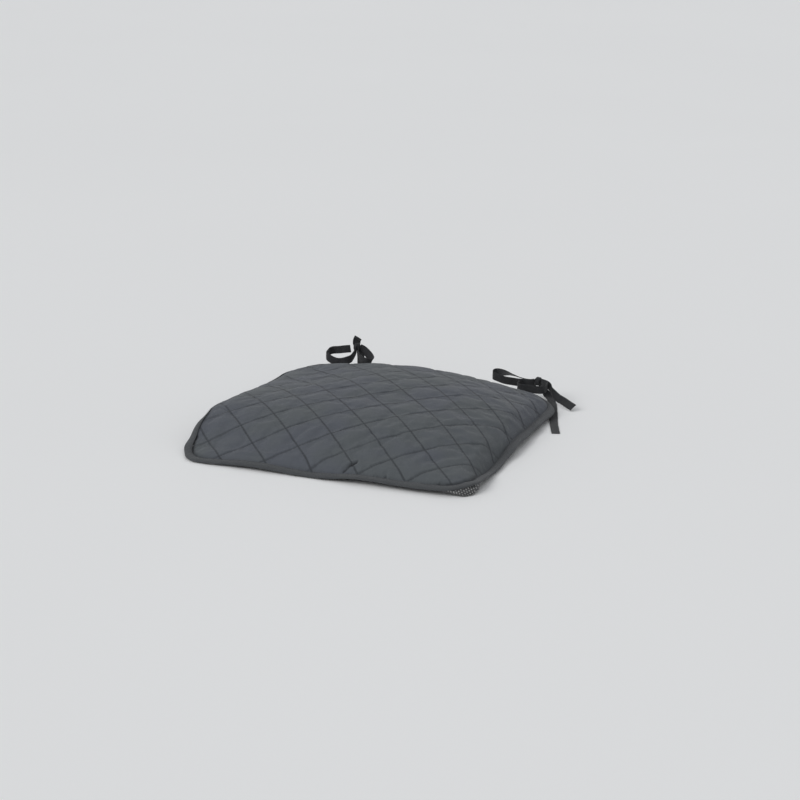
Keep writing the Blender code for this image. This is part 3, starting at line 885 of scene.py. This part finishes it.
LEFT_TAIL_BACK = (
    ((0.0213, 0.0375, 0.0520), (1.0, 0.0, 0.0)),
    ((0.0215, 0.0415, 0.0490), (1.0, 0.0, 0.0)), ((0.0215, 0.0455, 0.0440), (1.0, 0.0, 0.0)),
    ((0.0210, 0.0490, 0.0340), (1.0, 0.0, 0.0)), ((0.0200, 0.0530, 0.0220), (1.0, 0.0, 0.0)),
    ((0.0180, 0.0580, 0.0110), (1.0, 0.1, 0.0)), ((0.0130, 0.0660, 0.0035), (1.0, 0.5, 0.0)),
    ((0.0030, 0.0760, 0.0008), (0.8, 0.7, 0.0)), ((-0.0120, 0.0850, 0.0008), (0.6, 0.9, 0.0)),
    ((-0.0290, 0.0900, 0.0008), (0.4, 1.0, 0.0)),
)
RIGHT_BAND = (
    ((0.0070, 0.0350, 0.0280), UP),
    ((0.0130, 0.0310, 0.0275), UP), ((0.0185, 0.0285, 0.0275), UP),
    ((0.0222, 0.0225, 0.0270), UP), ((0.0224, 0.0140, 0.0265), UP),
    ((0.0214, 0.0060, 0.0260), UP), ((0.0165, 0.0018, 0.0260), UP),
    ((0.0080, 0.0009, 0.0260), UP), ((0.0000, 0.0009, 0.0260), UP),
    ((-0.0080, 0.0009, 0.0260), UP), ((-0.0165, 0.0018, 0.0260), UP),
    ((-0.0214, 0.0060, 0.0260), UP), ((-0.0224, 0.0140, 0.0262), UP),
    ((-0.0222, 0.0225, 0.0265), UP), ((-0.0180, 0.0285, 0.0265), UP),
    ((-0.0080, 0.0305, 0.0265), UP), ((-0.0015, 0.0340, 0.0275), UP),
)
RIGHT_KNOT = np.array((0.0025, 0.0370, 0.0290))
RIGHT_LOOP = (
    ((-0.0010, 0.0390, 0.0290), (-0.3, 0.9, -0.3)),
    ((-0.0070, 0.0410, 0.0290), (-0.3, 0.9, -0.3)),
    ((-0.0180, 0.0430, 0.0285), (-0.3, 0.9, -0.3)),
    ((-0.0300, 0.0450, 0.0295), (-0.3, 0.9, -0.3)), ((-0.0450, 0.0465, 0.0320), (-0.3, 0.8, 0.0)),
    ((-0.0600, 0.0455, 0.0340), (-0.1, 0.6, 0.5)), ((-0.0700, 0.0400, 0.0340), (0.0, 0.2, 1.0)),
    ((-0.0700, 0.0320, 0.0320), UP), ((-0.0620, 0.0290, 0.0300), UP),
    ((-0.0480, 0.0290, 0.0270), UP), ((-0.0330, 0.0325, 0.0250), UP),
    ((-0.0200, 0.0355, 0.0245), UP), ((-0.0085, 0.0370, 0.0245), UP),
    ((-0.0020, 0.0375, 0.0260), UP),
)
RIGHT_TAIL_SIDE = (
    ((0.0065, 0.0375, 0.0275), UP),
    ((0.0110, 0.0380, 0.0265), UP), ((0.0180, 0.0375, 0.0245), UP),
    ((0.0245, 0.0335, 0.0215), UP), ((0.0290, 0.0260, 0.0190), UP),
    ((0.0350, 0.0190, 0.0165), (0.2, 0.1, 1.0)), ((0.0440, 0.0120, 0.0130), (0.4, 0.2, 0.9)),
    ((0.0580, 0.0040, 0.0097), (0.7, 0.3, 0.6)), ((0.0730, -0.0060, 0.0063), (0.83, 0.30, 0.46)),
)
RIGHT_TAIL_FRONT = (
    ((0.0035, 0.0415, 0.0265), (-1.0, 0.3, 0.0)),
    ((0.0040, 0.0455, 0.0240), (-1.0, 0.3, 0.0)), ((0.0060, 0.0500, 0.0170), (-1.0, 0.3, 0.0)),
    ((0.0120, 0.0515, 0.0075), (-1.0, 0.2, 0.0)), ((0.0195, 0.0460, 0.0022), (-1.0, -0.5, 0.0)),
    ((0.0270, 0.0320, 0.0008), (-1.0, -0.4, 0.0)), ((0.0360, 0.0100, 0.0008), (-1.0, -0.3, 0.0)),
    ((0.0430, -0.0120, 0.0008), (-1.0, -0.3, 0.0)), ((0.0500, -0.0340, 0.0008), (-1.0, -0.3, 0.0)),
    ((0.0570, -0.0570, 0.0008), (-1.0, -0.3, 0.0)), ((0.0660, -0.0860, 0.0008), (-1.0, -0.3, 0.0)),
    ((0.0800, -0.1240, 0.0008), (-1.0, -0.4, 0.0)),
)


def through(points, crosses, step):
    """Even points and cross directions along a smooth curve through the given ones."""
    fine, turned = [], []
    last = len(points) - 1
    for k in range(last):
        before, start, end, after = (points[max(k - 1, 0)], points[k], points[k + 1],
                                     points[min(k + 2, last)])
        for t in np.arange(12) / 12:
            fine.append(0.5 * (2 * start + (end - before) * t
                               + (2 * before - 5 * start + 4 * end - after) * t ** 2
                               + (3 * start - before - 3 * end + after) * t ** 3))
            turned.append(crosses[k] * (1 - t) + crosses[k + 1] * t)
    fine, turned = np.array(fine + [points[-1]]), np.array(turned + [crosses[-1]])
    run = np.concatenate(([0.0], np.cumsum(np.linalg.norm(np.diff(fine, axis=0), axis=1))))
    even = np.linspace(0.0, run[-1], max(int(round(run[-1] / step)), 3) + 1)
    return (np.stack([np.interp(even, run, fine[:, k]) for k in range(3)], 1),
            np.stack([np.interp(even, run, turned[:, k]) for k in range(3)], 1), run[-1])


def ribbon(name, route, anchor, seed):
    """A woven tape along a route, a little cupped and uneven, with firm edges."""
    points = np.array([point for point, _ in route]) + anchor
    crosses = unit(np.array([across for _, across in route]))
    centres, across, length = through(points, crosses, 0.0013)
    along = unit(np.gradient(centres, axis=0))
    across = unit(across - along * np.sum(across * along, axis=1)[:, None])
    face = np.cross(along, across)
    chance = np.random.default_rng(seed)
    bend = np.convolve(chance.normal(0.0, 1.0, len(centres) + 14), np.hanning(15) / 7, "valid")
    shares = np.array((-1.0, -0.92, -0.6, -0.2, 0.2, 0.6, 0.92, 1.0))
    firm = np.where(np.abs(shares) > 0.9, 1.0, 0.78)
    firm[[0, -1]] = 0.5
    section = []
    for side in (1, -1):
        order = shares if side == 1 else shares[::-1]
        for share, wall in zip(order, firm):
            lift = side * wall * TAPE_THICKNESS / 2 - TAPE_CUP * (share ** 2 - 0.4)
            section.append((share * TAPE_WIDTH / 2, lift))
    section = np.array(section)
    edge_wave = np.sin(np.linspace(0.0, length * 260, len(centres)) + seed) * 0.00012
    sideways = section[None, :, 0, None]
    tilt = (bend * 0.00022)[:, None, None] * sideways / (TAPE_WIDTH / 2)
    rows = (centres[:, None, :] + across[:, None, :] * (sideways + edge_wave[:, None, None])
            + face[:, None, :] * (section[None, :, 1, None] + tilt))
    rows[:, :, 2] = np.maximum(rows[:, :, 2], 0.0002)
    faces = tube_faces(len(centres), len(section)) + end_faces(len(centres), len(section))
    piece = mesh_piece(name, rows.reshape(-1, 3), faces, True)
    face_outward(piece)
    piece.data.set_sharp_from_angle(angle=math.radians(50.0))
    return piece, centres, length


def wrap(centre, normal, radii, width, seed):
    """One turn of tape, squeezed flat, round a knot's middle."""
    normal = unit(np.array([normal]))[0]
    first = unit(np.cross([normal], [(0.3, 0.2, 1.0)]))[0]
    second = np.cross(normal, first)
    chance = np.random.default_rng(seed)
    around, sides = 40, ((-1.0, 0.0), (-0.8, 1.0), (-0.3, 1.35), (0.3, 1.3), (0.8, 1.0),
                         (1.0, 0.0), (0.6, -0.9), (-0.6, -0.9))
    starts = chance.uniform(0.0, math.tau, 3)
    points = []
    for k in range(around):
        angle = math.tau * k / around
        out = first * math.cos(angle) + second * math.sin(angle)
        spot = centre + first * math.cos(angle) * radii[0] + second * math.sin(angle) * radii[1]
        pinch = 1.0 - 0.28 * math.sin(angle * 2 + starts[0]) ** 2
        drift = 0.0008 * math.sin(angle + starts[1])
        for share, lift in sides:
            fold = 0.00035 * math.sin(share * 7 + starts[2] + angle * 3)
            points.append(spot + normal * (share * width / 2 * pinch + drift)
                          + out * (lift * 0.0009 + fold))
    return points, tube_faces(around, len(sides), closed=True)


def bow_knot(name, centre, turns, seed):
    """A tightly pulled knot: turns of tape over each other round its middle."""
    points, faces = [], []
    for number, (normal, radii, width) in enumerate(turns):
        more, sides = wrap(centre, normal, radii, width, seed + number)
        faces += [tuple(v + len(points) for v in side) for side in sides]
        points += more
    knot = mesh_piece(name, points, faces, True)
    soften(knot)
    face_outward(knot)
    return knot


def bar_tack(name, centre):
    """Close zigzag stitches that hold the middle of a tie to the pad's edge."""
    count = 13
    heights = np.linspace(-0.0034, 0.0034, count)
    spots = np.array([centre + np.array((0.0, 0.0, h)) for h in heights])
    aheads = unit(np.array([(1.0, 0.0, 0.16 if k % 2 else -0.16) for k in range(count)]))
    ups = np.tile((0.0, 1.0, 0.0), (count, 1))
    return stitched(name, spots, aheads, ups, 0.0032, 0.00055)


def add_ties(tape, thread):
    left_turns = (((0.2, 0.6, 0.8), (0.0046, 0.0056), 0.0100),
                  ((1.0, 0.3, 0.2), (0.0052, 0.0048), 0.0085),
                  ((0.6, -0.5, 0.7), (0.0036, 0.0040), 0.0080))
    right_turns = (((1.0, 0.1, -0.1), (0.0054, 0.0058), 0.0100),
                   ((0.4, 0.8, 0.5), (0.0046, 0.0050), 0.0080),
                   ((0.5, -0.4, 0.8), (0.0036, 0.0042), 0.0080))
    anchors = {"left": LEFT_ANCHOR, "right": RIGHT_ANCHOR}
    for side, centre, sewn_at, turns in (("left", LEFT_KNOT, 0.0345, left_turns),
                                         ("right", RIGHT_KNOT, 0.026, right_turns)):
        knot = bow_knot(side + "_bow_knot", anchors[side] + centre, turns, 20)
        belongs(knot, "pad", "tie_tape", tape, side + "_knot")
        sewn_spot = anchors[side] + np.array((0.0, 0.0017, sewn_at))
        tack = bar_tack(side + "_tack_stitches", sewn_spot)
        belongs(tack, "pad", "sewing_thread", thread, side + "_bar_tack")
    for name, route, body, far_end, stiffness, seed, nodes in (
            ("left_tie_tape", LEFT_BAND, "pad", "bare", "stiff", 31,
             ("left_tie_band", "left_tail_up")),
            ("left_bow_tape", LEFT_LOOP, "left_bow", "knot", "stiff", 32, ("left_loop",)),
            ("left_back_tape", LEFT_TAIL_BACK, "left_tail", "bare", "limp", 33,
             ("left_tail_back",)),
            ("right_tie_tape", RIGHT_BAND, "pad", "knot", "stiff", 34, ("right_tie_band",)),
            ("right_bow_tape", RIGHT_LOOP, "right_bow", "knot", "stiff", 35, ("right_loop",)),
            ("right_side_tape", RIGHT_TAIL_SIDE, "right_outer_tail", "bare", "stiff", 36,
             ("right_tail_side",)),
            ("right_front_tape", RIGHT_TAIL_FRONT, "right_inner_tail", "bare", "limp", 37,
             ("right_tail_front",))):
        side = name.split("_")[0]
        piece, centres, length = ribbon(name, route, anchors[side], seed)
        belongs(piece, body, "tie_tape", tape, *nodes)


# ---------------------------------------------------------------- assembly
def main():
    add_camera()
    add_studio()
    thread = sewing_thread()
    add_ties(tie_tape(), thread)
    cover = belongs(quilted_cover(), "pad", "cover_cloth", cover_cloth(),
                    "top_cover", "quilt_wadding", "quilt_lining", "cushion_core")
    belongs(backing_sheet(), "pad", "backing_knit", backing_knit(), "backing")
    belongs(edge_binding(), "pad", "binding_cloth", binding_cloth(), "edge_binding")
    belongs(quilting_stitches(), "pad", "sewing_thread", thread, "quilting_thread")
    belongs(binding_stitches(), "pad", "sewing_thread", thread, "binding_thread")


main()
